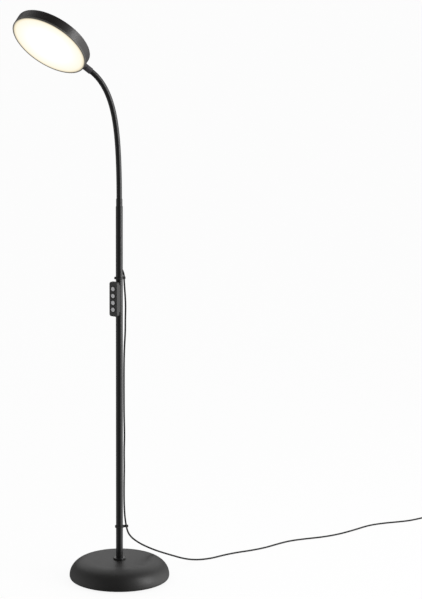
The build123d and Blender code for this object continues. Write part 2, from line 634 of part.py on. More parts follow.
# ================================================================ controller
with BuildPart() as control_saddle:
    with BuildSketch(CONTROL):
        Rectangle(SADDLE_WIDTH, SADDLE_LENGTH)
    extrude(amount=CONTROL_BACK)
    with BuildSketch(Plane.XY.offset(CONTROL_HEIGHT - SADDLE_LENGTH)):
        Circle(POLE_RADIUS + SLIDE_FIT)
    extrude(amount=2 * SADDLE_LENGTH, mode=Mode.SUBTRACT)
    with BuildSketch(CONTROL):
        with Locations((0, CASE_SCREW_SPACING / 2), (0, -CASE_SCREW_SPACING / 2)):
            Circle(CASE_SCREW_RADIUS + SLIDE_FIT)
        Circle(WIRE_HOLE_RADIUS)
    extrude(amount=CONTROL_BACK, mode=Mode.SUBTRACT)
write(control_saddle, "control_saddle")

case_corner_inside = CONTROL_CORNER - CONTROL_WALL
with BuildPart() as control_back_shell:
    with BuildSketch(CONTROL.offset(CONTROL_BACK)):
        RectangleRounded(CONTROL_WIDTH, CONTROL_LENGTH, CONTROL_CORNER)
    extrude(amount=CONTROL_SHELL_DEPTH)
    fillet(control_back_shell.faces().sort_by(Axis(CONTROL.origin, CONTROL.z_dir))[0].edges(), CONTROL_WALL * 0.6)
    with BuildSketch(CONTROL.offset(CONTROL_BACK + CONTROL_WALL)):
        RectangleRounded(
            CONTROL_WIDTH - 2 * CONTROL_WALL,
            CONTROL_LENGTH - 2 * CONTROL_WALL,
            case_corner_inside,
        )
    extrude(amount=CONTROL_SHELL_DEPTH, mode=Mode.SUBTRACT)
    with BuildSketch(CONTROL.offset(CONTROL_BACK + CONTROL_WALL)):
        with GridLocations(0, BOARD_LENGTH * 0.9, 1, 2):
            Rectangle(BOARD_WIDTH * 0.8, 1.6)
    extrude(amount=BOARD_RIB_HEIGHT)
    with BuildSketch(CONTROL):
        with Locations((0, CASE_SCREW_SPACING / 2), (0, -CASE_SCREW_SPACING / 2)):
            Circle(CASE_SCREW_RADIUS + SLIDE_FIT)
        Circle(WIRE_HOLE_RADIUS)
    extrude(amount=CONTROL_SEAM, mode=Mode.SUBTRACT)
write(control_back_shell, "control_back_shell")

with BuildPart() as control_front_cover:
    with BuildSketch(CONTROL.offset(CONTROL_SEAM)):
        RectangleRounded(CONTROL_WIDTH, CONTROL_LENGTH, CONTROL_CORNER)
    extrude(amount=CONTROL_COVER_DEPTH)
    fillet(control_front_cover.faces().sort_by(Axis(CONTROL.origin, CONTROL.z_dir))[-1].edges(), CONTROL_EDGE)
    with BuildSketch(CONTROL.offset(CONTROL_SEAM)):
        RectangleRounded(
            CONTROL_WIDTH - 2 * CONTROL_WALL,
            CONTROL_LENGTH - 2 * CONTROL_WALL,
            case_corner_inside,
        )
    extrude(amount=CONTROL_COVER_DEPTH - CONTROL_WALL, mode=Mode.SUBTRACT)
    with BuildSketch(CONTROL.offset(CONTROL_SEAM)):
        with Locations(*[(0, row) for row in button_rows]):
            Circle(BUTTON_RADIUS + BUTTON_PLAY)
    extrude(amount=2 * CONTROL_COVER_DEPTH, mode=Mode.SUBTRACT)
write(control_front_cover, "control_front_cover")

# A button hangs by its flange under the cover and rests just over its switch.
flange_level = CONTROL_FRONT - CONTROL_WALL - BUTTON_PLAY - BUTTON_FLANGE
for name, row in zip(BUTTONS, button_rows):
    with BuildPart() as button:
        with BuildSketch(CONTROL.offset(flange_level)):
            with Locations((0, row)):
                Circle(BUTTON_FLANGE_RADIUS)
        extrude(amount=BUTTON_FLANGE)
        with BuildSketch(CONTROL.offset(flange_level)):
            with Locations((0, row)):
                Circle(BUTTON_RADIUS)
        extrude(amount=CONTROL_FRONT + BUTTON_PROUD - flange_level)
        button_face = button.faces().sort_by(Axis(CONTROL.origin, CONTROL.z_dir))[-1]
        fillet(button_face.edges(), BUTTON_EDGE)
    write(button, name)

switch_level = BOARD_LEVEL + BOARD_THICKNESS
with BuildPart() as control_board:
    with BuildSketch(CONTROL.offset(BOARD_LEVEL)):
        Rectangle(BOARD_WIDTH, BOARD_LENGTH)
    extrude(amount=BOARD_THICKNESS)
write(control_board, "control_board")

plunger_top = flange_level - BUTTON_TRAVEL - 0.1
with BuildPart() as control_switches:
    with BuildSketch(CONTROL.offset(switch_level)):
        with Locations(*[(0, row) for row in button_rows]):
            Rectangle(SWITCH_SIZE, SWITCH_SIZE)
    extrude(amount=SWITCH_HEIGHT)
    with BuildSketch(CONTROL.offset(switch_level)):
        with Locations(*[(0, row) for row in button_rows]):
            Circle(SWITCH_PLUNGER_RADIUS)
    extrude(amount=plunger_top - switch_level)
write(control_switches, "control_switches")

screw_seat = CONTROL_BACK + CONTROL_WALL
with BuildPart() as control_screws:
    with BuildSketch(CONTROL.offset(screw_seat)):
        with Locations((0, CASE_SCREW_SPACING / 2), (0, -CASE_SCREW_SPACING / 2)):
            Circle(CASE_SCREW_HEAD_RADIUS)
    extrude(amount=CASE_SCREW_HEAD_HEIGHT)
    with BuildSketch(CONTROL.offset(POLE_BORE_RADIUS - CASE_SCREW_REACH)):
        with Locations((0, CASE_SCREW_SPACING / 2), (0, -CASE_SCREW_SPACING / 2)):
            Circle(CASE_SCREW_RADIUS)
    extrude(amount=screw_seat - POLE_BORE_RADIUS + CASE_SCREW_REACH)
write(control_screws, "control_screws")

# ================================================================ wiring
# One lead in the pole, with branches to the controller's board and to the cord's outlet.
wire_foot = CONTROL_HEIGHT - 3 * POLE_WIRE_RADIUS
with BuildPart() as wiring:
    with BuildSketch(Plane.XY.offset(wire_foot)):
        Circle(POLE_WIRE_RADIUS)
    extrude(amount=NECK_FOOT - LOWER_FERRULE_HEIGHT / 2 - wire_foot)
    with BuildSketch(CONTROL):
        Circle(CONTROL_WIRE_RADIUS)
    extrude(amount=BOARD_LEVEL)
    with BuildSketch(OUTLET):
        with Locations((0, OUTLET_BODY[1] / 2)):
            Circle(CONTROL_WIRE_RADIUS)
    extrude(amount=POLE_RADIUS - 2 * SLIDE_FIT)
write(wiring, "wiring")

# ================================================================ cord outlet and clips
outlet_depth = OUTLET_REACH + CORD_RADIUS + OUTLET_COVER
with BuildPart() as cord_outlet:
    with BuildSketch(OUTLET):
        with Locations((0, OUTLET_BODY[1] / 2)):
            Rectangle(OUTLET_BODY[0], OUTLET_BODY[1])
    extrude(amount=outlet_depth)
    outlet_face = cord_outlet.faces().sort_by(Axis(OUTLET.origin, OUTLET.z_dir))[-1]
    top_edge = outlet_face.edges().sort_by(Axis.Z)[-1]
    chamfer(top_edge, outlet_depth - POLE_RADIUS - 1)
    fillet(cord_outlet.edges().filter_by(Axis.Z).sort_by(Axis(OUTLET.origin, OUTLET.z_dir))[-2:], 1.8)
    with BuildSketch(Plane.XY.offset(OUTLET_HEIGHT - 1)):
        Circle(POLE_RADIUS + SLIDE_FIT)
    extrude(amount=OUTLET_BODY[1] + 2, mode=Mode.SUBTRACT)
write(cord_outlet, "cord_outlet")


def cord_clip(level, reach, play, tab_end, arm_end):
    """A ring round the pole with a closing tab in front and a loop for the cord behind."""
    with BuildPart() as clip:
        with BuildSketch(Plane.XY.offset(level - CLIP_HEIGHT / 2)):
            Circle(POLE_RADIUS + CLIP_FIT + CLIP_WALL)
            with Locations((0, -tab_end / 2)):
                Rectangle(CLIP_TAB_WIDTH, tab_end)
            with Locations((0, reach)):
                Circle(CORD_RADIUS + play + CLIP_LOOP_WALL)
            with Locations((0, arm_end / 2)):
                Rectangle(CLIP_TAB_WIDTH, arm_end)
        extrude(amount=CLIP_HEIGHT)
        fillet(clip.edges().filter_by(Axis.Z).group_by(Axis.Y)[0], 0.6)
        with BuildSketch(Plane.XY.offset(level - CLIP_HEIGHT / 2)):
            Circle(POLE_RADIUS + CLIP_FIT)
            with Locations((0, reach)):
                Circle(CORD_RADIUS + play)
        extrude(amount=CLIP_HEIGHT, mode=Mode.SUBTRACT)
    return clip


upper_clip = cord_clip(
    UPPER_CLIP_HEIGHT, UPPER_CLIP_REACH, UPPER_LOOP_PLAY, UPPER_CLIP_TAB, UPPER_CLIP_REACH
)
write(upper_clip, "upper_cord_clip")
lower_clip = cord_clip(
    LOWER_CLIP_HEIGHT, LOWER_CLIP_REACH, LOWER_LOOP_PLAY, LOWER_CLIP_TAB, LOWER_CLIP_END
)
write(lower_clip, "lower_cord_clip")


# ================================================================ cord
def fillet_radii(points):
    """Each corner's arc: 0.45 of its shorter run, over the tangent of half the turn."""
    radii = []
    for before, corner, after in zip(points, points[1:], points[2:]):
        arriving = Vector(*corner) - Vector(*before)
        leaving = Vector(*after) - Vector(*corner)
        half_turn = math.radians(arriving.get_angle(leaving) / 2)
        shorter_run = min(arriving.length, leaving.length)
        radii.append(0.45 * shorter_run / math.tan(half_turn))
    return radii


def cord_tube(points, name):
    """A round cord along a route, with an arc at every corner."""
    radii = fillet_radii(points)
    with BuildPart() as tube:
        with BuildLine():
            route = FilletPolyline(*points, radius=radii)
        with BuildSketch(Plane(origin=route @ 0, z_dir=route % 0)):
            Circle(CORD_RADIUS)
        sweep(path=route)
    swept = math.pi * CORD_RADIUS**2 * route.length
    print(f"{name}: {route.length:.0f} mm, volume {tube.part.volume:.0f} of {swept:.0f} mm3")
    print("  arc radii", *[f"{radius:.0f}" for radius in radii])
    write(tube, name)
    return route.length


# From the outlet down the back of the pole, through the upper clip, to the lower clip.
outlet_x = -OUTLET_REACH * math.sin(outlet_turn)
outlet_y = OUTLET_REACH * math.cos(outlet_turn)
pole_run = [
    (outlet_x, outlet_y, OUTLET_HEIGHT),
    (outlet_x, outlet_y, 739),
    (-9.2, 6.3, 732),
    (-5.2, 9.9, 724.5),
    (0, UPPER_CLIP_REACH, 716.5),
    (0, UPPER_CLIP_REACH, 705.5),
    (0.1, 12.1, 690),
    (0, 13.5, 671),
    (-0.1, 14.7, 645),
    (0, 13.8, 614),
    (0.1, 14.1, 586),
    (0, 12.2, 545),
    (-0.1, 11.6, 500),
    (0, 11.7, 440),
    (0.1, 12.0, 388),
    (0, 13.3, 343),
    (-0.1, 12.0, 305),
    (0, 12.7, 268),
    (0.1, 11.8, 228),
    (0, 11.9, 186),
    (-0.1, 12.6, 158),
    (0.1, 13.84, 138.5),
    (0, LOWER_CLIP_REACH, LOWER_CLIP_HEIGHT),
]

# From the lower clip over the base to the floor, and away to the coil.
coil_heading = Vector(-0.371, 0.9286, 0).normalized()
coil_entry = Vector(-372, 930, COIL_LEVEL)
coil_start = coil_entry - coil_heading * COIL_TAIL
floor_run = [
    (0, LOWER_CLIP_REACH, LOWER_CLIP_HEIGHT),
    (-0.08, 16.6, 115.5),
    (-3.2, 22, 104.5),
    (-9.5, 34.5, 93.5),
    (-22, 59, 73),
    (-40, 95, 50),
    (-60, 134, 30),
    (-80, 173, 11.5),
    (-97, 208, CORD_RADIUS),
    (-104, 243, CORD_RADIUS),
    (-123, 276, CORD_RADIUS),
    (-138, 313, CORD_RADIUS),
    (-148, 352, CORD_RADIUS),
    (-164, 391, CORD_RADIUS),
    (-186, 425, CORD_RADIUS),
    (-206, 460, CORD_RADIUS),
    (-216, 503, CORD_RADIUS),
    (-222, 548, CORD_RADIUS),
    (-237, 594, CORD_RADIUS),
    (-267, 645, CORD_RADIUS),
    (-299, 692, CORD_RADIUS),
    (-310, 734, CORD_RADIUS),
    (-314, 772, CORD_RADIUS),
    (-319, 806, CORD_RADIUS),
    (-337, 845, CORD_RADIUS),
    (-354, 885, COIL_LEVEL),
    (coil_start.X, coil_start.Y, COIL_LEVEL),
]
cord_length = cord_tube(pole_run, "cord_pole_run") + cord_tube(floor_run, "cord_floor_run")

# ---------------------------------------------------------------- coil
# The coil's plane has +Y along the cord as it arrives, and the first turn starts at +X.
coil_left = Vector(-coil_heading.Y, coil_heading.X, 0)
coil_centre = coil_entry + coil_left * COIL_OUTER_RADIUS
COIL = Plane(
    origin=(coil_centre.X, coil_centre.Y, 0),
    x_dir=coil_left * -1,
    z_dir=(0, 0, 1),
)


def quarter_turn(start, leaving, arriving, radius):
    """Middle and end of a quarter circle that leaves and arrives along two directions."""
    centre = start + arriving * radius
    middle = centre + (leaving - arriving) * (radius * math.sqrt(0.5))
    return middle, centre + leaving * radius


# Half turns wind in on the floor layer, one half turn climbs, and the rest wind out on top.
step = COIL_PITCH / 2
place = coil_entry
ahead = coil_heading
coil_arcs = []
for half in range(COIL_HALF_TURNS_IN + 1 + COIL_HALF_TURNS_OUT):
    radius = COIL_OUTER_RADIUS - step * min(half, 2 * COIL_HALF_TURNS_IN - half)
    climb = COIL_PITCH if half == COIL_HALF_TURNS_IN else 0
    slope = math.atan2(climb, 2 * radius)
    across = ahead.rotate(Axis.Z, 90) * math.cos(slope) + Vector(0, 0, math.sin(slope))
    for leaving, arriving in ((ahead, across), (across, ahead * -1)):
        middle, end = quarter_turn(place, leaving, arriving, radius / math.cos(slope))
        coil_arcs.append((place, middle, end))
        place = end
    ahead = ahead * -1
coil_end = place + coil_heading * COIL_EXIT

with BuildPart() as cord_coil:
    with BuildLine() as coil_line:
        Line(coil_start, coil_entry)
        for start, middle, end in coil_arcs:
            ThreePointArc(start, middle, end)
        Line(place, coil_end)
    coil_wire = coil_line.wires()[0]
    with BuildSketch(Plane(origin=coil_wire @ 0, z_dir=coil_wire % 0)):
        Circle(CORD_RADIUS)
    sweep(path=coil_wire)
write(cord_coil, "cord_coil")

# The least gap from one turn to another, on points along the centreline.
samples = 900
coil_points = [coil_wire @ (sample / samples) for sample in range(samples + 1)]
apart = int(samples * 4 * COIL_OUTER_RADIUS / coil_wire.length)
least = min(
    (first - second).length
    for index, first in enumerate(coil_points)
    for second in coil_points[index + apart :]
)
print(f"cord_coil: {coil_wire.length:.0f} mm, least gap {least - 2 * CORD_RADIUS:.2f} mm")
print(f"  volume {cord_coil.part.volume:.0f} of", end=" ")
print(f"{math.pi * CORD_RADIUS**2 * coil_wire.length:.0f} mm3")
print(f"cord from the outlet to the adapter: {cord_length + coil_wire.length:.0f} mm")

# The tie: a flat band round all the turns on the coil's far side.
turns_stacked = (COIL_HALF_TURNS_IN + 1) // 2
inner_turn = COIL_OUTER_RADIUS - (turns_stacked - 1) * COIL_PITCH
sag = inner_turn - math.sqrt(inner_turn**2 - (TIE_WIDTH / 2 + step) ** 2)
bundle_width = (turns_stacked - 1) * COIL_PITCH + 2 * CORD_RADIUS + sag + 2 * TIE_PLAY
bundle_height = COIL_PITCH + 2 * CORD_RADIUS + 2 * (COIL_LEVEL - CORD_RADIUS - TIE_WALL)
bundle_middle = (COIL_OUTER_RADIUS + inner_turn - sag) / 2
TIE = Plane(
    origin=COIL.from_local_coords((-step, bundle_middle, COIL_LEVEL + COIL_PITCH / 2)),
    x_dir=coil_heading,
    z_dir=COIL.x_dir,
)
with BuildPart() as coil_tie:
    with BuildSketch(TIE):
        RectangleRounded(bundle_width + 2 * TIE_WALL, bundle_height + 2 * TIE_WALL, 2.4)
        RectangleRounded(bundle_width, bundle_height, 1.7, mode=Mode.SUBTRACT)
    extrude(amount=TIE_WIDTH / 2, both=True)
write(coil_tie, "coil_tie")

# ================================================================ power adapter
# It lies on the floor beyond the coil, its pins pointing away.
BOOT = Plane(origin=coil_end, x_dir=COIL.x_dir, z_dir=coil_heading)
with BuildPart() as adapter_boot:
    with BuildSketch(BOOT):
        Circle(BOOT_TIP_RADIUS)
    with BuildSketch(BOOT.offset(BOOT_LENGTH)):
        Circle(BOOT_ROOT_RADIUS)
    loft()
write(adapter_boot, "adapter_boot")

# The adapter's plane has +X to its right, +Y up and +Z along its length; its origin is
# on the floor under the boot's root.
boot_root = coil_end + coil_heading * BOOT_LENGTH
ADAPTER = Plane(
    origin=(boot_root.X, boot_root.Y, ADAPTER_HEIGHT / 2),
    x_dir=COIL.x_dir,
    z_dir=coil_heading,
)
inner_width = ADAPTER_WIDTH - 2 * ADAPTER_WALL
inner_height = ADAPTER_HEIGHT - 2 * ADAPTER_WALL
with BuildPart() as adapter_case:
    with BuildSketch(ADAPTER):
        RectangleRounded(ADAPTER_WIDTH, ADAPTER_HEIGHT, ADAPTER_ROUND)
    extrude(amount=ADAPTER_CASE_LENGTH)
    fillet(adapter_case.faces().sort_by(Axis(ADAPTER.origin, ADAPTER.z_dir))[0].edges(), ADAPTER_WALL * 0.9)
    with BuildSketch(ADAPTER.offset(ADAPTER_WALL)):
        RectangleRounded(inner_width, inner_height, ADAPTER_WALL / 2)
    extrude(amount=ADAPTER_CASE_LENGTH, mode=Mode.SUBTRACT)
write(adapter_case, "adapter_case")

with BuildPart() as adapter_cover:
    with BuildSketch(ADAPTER.offset(ADAPTER_CASE_LENGTH)):
        RectangleRounded(ADAPTER_WIDTH, ADAPTER_HEIGHT, ADAPTER_ROUND)
    extrude(amount=ADAPTER_COVER_LENGTH)
    fillet(adapter_cover.faces().sort_by(Axis(ADAPTER.origin, ADAPTER.z_dir))[-1].edges(), ADAPTER_WALL)
    with BuildSketch(ADAPTER.offset(ADAPTER_CASE_LENGTH)):
        RectangleRounded(inner_width, inner_height, ADAPTER_WALL / 2)
    extrude(amount=ADAPTER_COVER_LENGTH - 2 * ADAPTER_WALL, mode=Mode.SUBTRACT)
    with BuildSketch(ADAPTER.offset(ADAPTER_CASE_LENGTH)):
        with GridLocations(PIN_SPACING, 0, 2, 1):
            Circle(PIN_SHANK_RADIUS + SLIDE_FIT)
    extrude(amount=2 * ADAPTER_COVER_LENGTH, mode=Mode.SUBTRACT)
write(adapter_cover, "adapter_cover")

adapter_front = ADAPTER_CASE_LENGTH + ADAPTER_COVER_LENGTH
pin_root = adapter_front - 2 * ADAPTER_WALL
with BuildPart() as adapter_pins:
    with BuildSketch(ADAPTER.offset(pin_root - PIN_ROOT_FLANGE)):
        with GridLocations(PIN_SPACING, 0, 2, 1):
            Circle(PIN_SHANK_RADIUS + PIN_ROOT_FLANGE)
    extrude(amount=PIN_ROOT_FLANGE)
    with BuildSketch(ADAPTER.offset(pin_root)):
        with GridLocations(PIN_SPACING, 0, 2, 1):
            Circle(PIN_SHANK_RADIUS)
    extrude(amount=2 * ADAPTER_WALL + PIN_SHANK_PROUD)
    with BuildSketch(ADAPTER.offset(pin_root)):
        with GridLocations(PIN_SPACING, 0, 2, 1):
            Circle(PIN_RADIUS)
    extrude(amount=PIN_LENGTH + 2 * ADAPTER_WALL)
    fillet(adapter_pins.faces().group_by(Axis(ADAPTER.origin, ADAPTER.z_dir))[-1].edges(), PIN_RADIUS * 0.6)
write(adapter_pins, "adapter_pins")

board_floor = -inner_height / 2
with BuildPart() as converter_board:
    with BuildSketch(ADAPTER.offset(ADAPTER_WALL + 1)):
        with Locations((0, board_floor + CONVERTER_BOARD[2] / 2)):
            Rectangle(CONVERTER_BOARD[0], CONVERTER_BOARD[2])
    extrude(amount=CONVERTER_BOARD[1])
    with BuildSketch(ADAPTER.offset(ADAPTER_WALL + 6)):
        with Locations((0, board_floor + CONVERTER_BOARD[2] + CONVERTER_CORE[2] / 2)):
            Rectangle(CONVERTER_CORE[0], CONVERTER_CORE[2])
    extrude(amount=CONVERTER_CORE[1])
    with BuildSketch(ADAPTER.offset(ADAPTER_WALL + 26)):
        with Locations((0, board_floor + CONVERTER_BOARD[2] + CONVERTER_CAN_RADIUS - 0.2)):
            Circle(CONVERTER_CAN_RADIUS)
    extrude(amount=CONVERTER_CAN_HEIGHT)
write(converter_board, "converter_board")
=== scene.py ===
# %% [markdown]
# # A gooseneck reading lamp
#
# The lamp is a slim black pole on a heavy round base. A bendable neck carries a flat
# round head whose underside is a glowing disc. A small case with four buttons sits on
# the pole, and a thin lead runs down to the floor and away to its power adapter.
#
# The hard parts come from a CAD frame, already in the right place and size, in metres.
# Here they get their finishes, and the pieces that bend, such as the neck's sleeve and
# the lead, are made as smooth forms over them.

import math

import bpy
from mathutils import Matrix, Vector


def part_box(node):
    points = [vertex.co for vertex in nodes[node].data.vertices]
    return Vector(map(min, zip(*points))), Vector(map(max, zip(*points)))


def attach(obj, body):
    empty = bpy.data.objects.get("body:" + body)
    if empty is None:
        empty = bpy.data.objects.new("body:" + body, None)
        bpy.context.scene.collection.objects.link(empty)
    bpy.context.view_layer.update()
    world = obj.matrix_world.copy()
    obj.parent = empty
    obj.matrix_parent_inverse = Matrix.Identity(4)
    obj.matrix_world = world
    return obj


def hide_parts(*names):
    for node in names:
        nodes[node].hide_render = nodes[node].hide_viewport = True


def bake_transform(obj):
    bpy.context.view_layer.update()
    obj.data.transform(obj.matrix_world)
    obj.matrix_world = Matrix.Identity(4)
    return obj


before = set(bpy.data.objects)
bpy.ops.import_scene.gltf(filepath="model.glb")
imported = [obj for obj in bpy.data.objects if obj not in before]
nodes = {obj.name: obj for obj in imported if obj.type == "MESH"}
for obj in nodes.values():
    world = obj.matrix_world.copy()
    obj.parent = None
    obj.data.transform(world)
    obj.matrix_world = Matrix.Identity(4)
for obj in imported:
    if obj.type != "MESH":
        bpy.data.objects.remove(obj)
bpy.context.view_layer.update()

# %% [markdown]
# ## Camera
#
# The photograph is a product shot on a long lens: the pole has the same width all the
# way up, so the camera stood about five metres away. It looks at the lamp from its
# right, a little above the head. The camera's three axes are turned one after another:
# first around the pole, then yaw, tilt and roll, as a photographer would set a tripod.

# %% Camera
FRAME_HEIGHT_PX = 599
FOCAL_PX = 2233
SENSOR = 36.0
FAR_CLIP = 200.0
AZIMUTH, YAW, TILT, ROLL = map(math.radians, (80.0, 2.393, 10.744, 0.411))
CAMERA_DISTANCE = 5.0
CAMERA_HEIGHT = 1.611
UPWARD = Vector((0, 0, 1))


def turned(first, second, angle):
    """Two axes of the camera, with the first turned by an angle towards the second."""
    return (
        first * math.cos(angle) + second * math.sin(angle),
        second * math.cos(angle) - first * math.sin(angle),
    )


toward_camera = Vector((math.sin(AZIMUTH), -math.cos(AZIMUTH), 0))
picture_right = Vector((math.cos(AZIMUTH), math.sin(AZIMUTH), 0))
ahead, right = turned(-toward_camera, picture_right, YAW)
up, ahead = turned(UPWARD, ahead, TILT)
right, up = turned(right, up, ROLL)

lens = bpy.data.cameras.new("camera")
lens.sensor_width = SENSOR
lens.lens = FOCAL_PX * SENSOR / FRAME_HEIGHT_PX
lens.clip_end = FAR_CLIP
camera = bpy.data.objects.new("camera", lens)
bpy.context.collection.objects.link(camera)
camera.matrix_world = Matrix.Translation(
    toward_camera * CAMERA_DISTANCE + UPWARD * CAMERA_HEIGHT
) @ Matrix((right, up, -ahead)).transposed().to_4x4()
bpy.context.scene.camera = camera
bpy.context.scene.view_settings.view_transform = "Standard"
print("lens mm", round(lens.lens, 1), "camera at", [round(v, 2) for v in camera.location])

# %% [markdown]
# ## The lead
#
# A cord keeps its length and never bends sharply, so it is one smooth spline. A quadratic
# NURBS curve stays inside its control points and rounds every corner by itself. The
# control points follow the pole through two clips, drop over the base's shoulder and
# wander over the floor, and the spare length is wound into a small coil beside the
# adapter, out of the picture. They are given in millimetres.

# %% Route down the pole and over the floor
MM = 0.001
CORD_DIAMETER = 0.004
pole_route = [
    (-10.299, 3.749, 745), (-10.299, 3.749, 739), (-9.2, 6.3, 732), (-5.2, 9.9, 724.5),
    (0, 11.1, 716.5), (0, 11.1, 705.5), (0.1, 12.1, 690), (0, 13.5, 671),
    (-0.1, 14.7, 645), (0, 13.8, 614), (0.1, 13.9, 586), (0, 11.4, 545),
    (-0.1, 10.7, 500), (0, 10.7, 440), (0.1, 10.9, 388), (0, 12.1, 343),
    (-0.1, 10.9, 305), (0, 11.5, 268), (0.1, 10.8, 228), (0, 10.9, 186),
    (-0.1, 12.0, 158), (0.1, 13.84, 138.5),
]
floor_route = [
    (-0.4, 17.6, 117), (-3.6, 23.5, 103), (-9.8, 35.5, 89), (-22, 59, 70.5),
    (-40, 95, 49), (-60, 134, 30), (-80, 173, 11.5), (-97, 208, 2),
    (-104, 243, 2), (-123, 276, 2), (-138, 313, 2), (-148, 352, 2),
    (-164, 391, 2), (-186, 425, 2), (-206, 460, 2), (-216, 503, 2),
    (-222, 548, 2), (-237, 594, 2), (-267, 645, 2), (-299, 692, 2),
    (-310, 734, 2), (-314, 772, 2), (-319, 806, 2), (-337, 845, 2),
    (-354, 885, 2.9),
]
print("points on the pole", len(pole_route), "and on the floor", len(floor_route))

# %% [markdown]
# The coil is a flat spiral of half circles. Each half turn is a little smaller than the
# last until one half turn climbs onto the layer above, and then they grow again. The
# whole path comes from a few sizes: the first radius, the pitch and the two counts.

# %% The coil's turns
COIL_ENTRY = Vector((-372, 930, 2.9))
COIL_HEADING = Vector((-0.371, 0.9286, 0)).normalized()
COIL_RADIUS = 28.0
COIL_PITCH = 4.5
COIL_IN, COIL_OUT = 5, 6
POINTS_PER_HALF_TURN = 12
COIL_LEAD_IN, COIL_LEAD_OUT = 8.0, 4.0
COIL_TO_BOOT = 17.0
DEPTH_IN_BOOT = 1.5


def coil_route():
    """Control points of the coil and the place where it ends, in millimetres."""
    left = Vector((-COIL_HEADING.y, COIL_HEADING.x, 0))
    start, side = COIL_ENTRY, 1
    points = []
    for half_turn in range(COIL_IN + 1 + COIL_OUT):
        radius = COIL_RADIUS - COIL_PITCH / 2 * min(half_turn, 2 * COIL_IN - half_turn)
        climb = COIL_PITCH if half_turn == COIL_IN else 0.0
        centre = start + left * (radius * side)
        for step in range(POINTS_PER_HALF_TURN):
            angle = math.pi * (step + 0.5) / POINTS_PER_HALF_TURN
            lift = climb * (1 - math.cos(angle)) / 2
            points.append(
                centre
                - left * (radius * side * math.cos(angle))
                + COIL_HEADING * (radius * side * math.sin(angle))
                + Vector((0, 0, lift))
            )
        start = centre + left * (radius * side) + Vector((0, 0, climb))
        side = -side
    return points, start


coil_points, coil_exit = coil_route()
boot_tip = coil_exit + COIL_HEADING * COIL_TO_BOOT
print("coil control points", len(coil_points), "boot tip", [round(v, 1) for v in boot_tip])

# %% One spline from the outlet to the adapter
route = [Vector(p) for p in pole_route + floor_route]
route += [COIL_ENTRY - COIL_HEADING * COIL_LEAD_IN] + coil_points
route += [coil_exit + COIL_HEADING * COIL_LEAD_OUT, boot_tip + COIL_HEADING * DEPTH_IN_BOOT]
cord_curve = bpy.data.curves.new("lead", "CURVE")
cord_curve.dimensions = "3D"
cord_curve.bevel_depth = CORD_DIAMETER / 2
cord_curve.bevel_resolution = 5
cord_curve.resolution_u = 5
cord_curve.use_fill_caps = True
spline = cord_curve.splines.new("NURBS")
spline.points.add(len(route) - 1)
for control, place in zip(spline.points, route):
    control.co = (*(place * MM), 1)
spline.order_u = 3
spline.use_endpoint_u = True
lead = bpy.data.objects.new("lead", cord_curve)
bpy.context.collection.objects.link(lead)
print("cord length", round(spline.calc_length(), 3))

# %% [markdown]
# ## Finishes
#
# Nearly everything is black, so the finishes differ by how they shine: a satin powder
# coat on the metal, a smoother sleeve on the neck, soft moulded plastic on the
# controller. One node group makes their shared detail, a fine grain, and broad patches
# where hands have polished or dulled the surface a little.
#
# A few small helpers keep the node trees short. They make a group with named sockets,
# add a node with its options and values, draw a list of links and fill a color ramp.

# %% Helpers for node trees
def new_tree(name, kind, inputs, outputs):
    """An empty node group with named sockets; returns it with its two end nodes."""
    tree = bpy.data.node_groups.new(name, kind)
    for in_out, sockets in (("INPUT", inputs), ("OUTPUT", outputs)):
        for label, socket_type in sockets:
            tree.interface.new_socket(label, in_out=in_out, socket_type=socket_type)
    return tree, tree.nodes.new("NodeGroupInput"), tree.nodes.new("NodeGroupOutput")


def add_node(tree, kind, values=None, **options):
    """A new node with some options set, and values for some of its input sockets."""
    node = tree.nodes.new(kind)
    for option, value in options.items():
        setattr(node, option, value)
    for socket, value in (values or {}).items():
        node.inputs[socket].default_value = value
    return node


def connect(tree, *links):
    """Draw links, each given as node, output socket, node, input socket."""
    for source, output, target, socket in links:
        tree.links.new(source.outputs[output], target.inputs[socket])


def color_stops(ramp_node, stops):
    """Set a color ramp's stops, each a position and a color of three numbers."""
    ramp = ramp_node.color_ramp
    for _ in range(len(stops) - len(ramp.elements)):
        ramp.elements.new(0.5)
    for stop, (position, color) in zip(ramp.elements, stops):
        stop.position = position
        stop.color = (*color, 1)


def grey(level):
    """A neutral color of three equal numbers."""
    return (level, level, level)


print("helpers ready")

# %% A node group for fine surface detail
COLOR, FLOAT = "NodeSocketColor", "NodeSocketFloat"
NOISE_MIDDLE = 0.5
surface_detail, given, made = new_tree(
    "surface detail",
    "ShaderNodeTree",
    [
        ("Color", COLOR), ("Dust Color", COLOR),
        ("Grain Per Metre", FLOAT), ("Patch Per Metre", FLOAT),
        ("Roughness", FLOAT), ("Roughness Spread", FLOAT),
    ],
    [("Color", COLOR), ("Roughness", FLOAT), ("Height", FLOAT)],
)
place = add_node(surface_detail, "ShaderNodeTexCoord")
grain = add_node(surface_detail, "ShaderNodeTexNoise", {"Detail": 2})
patches = add_node(surface_detail, "ShaderNodeTexNoise", {"Detail": 4})
dust_share = add_node(surface_detail, "ShaderNodeMath", operation="MULTIPLY")
tint = add_node(surface_detail, "ShaderNodeMix", data_type="RGBA")
centred = add_node(surface_detail, "ShaderNodeMath", {1: NOISE_MIDDLE}, operation="SUBTRACT")
spread = add_node(surface_detail, "ShaderNodeMath", operation="MULTIPLY_ADD", use_clamp=True)
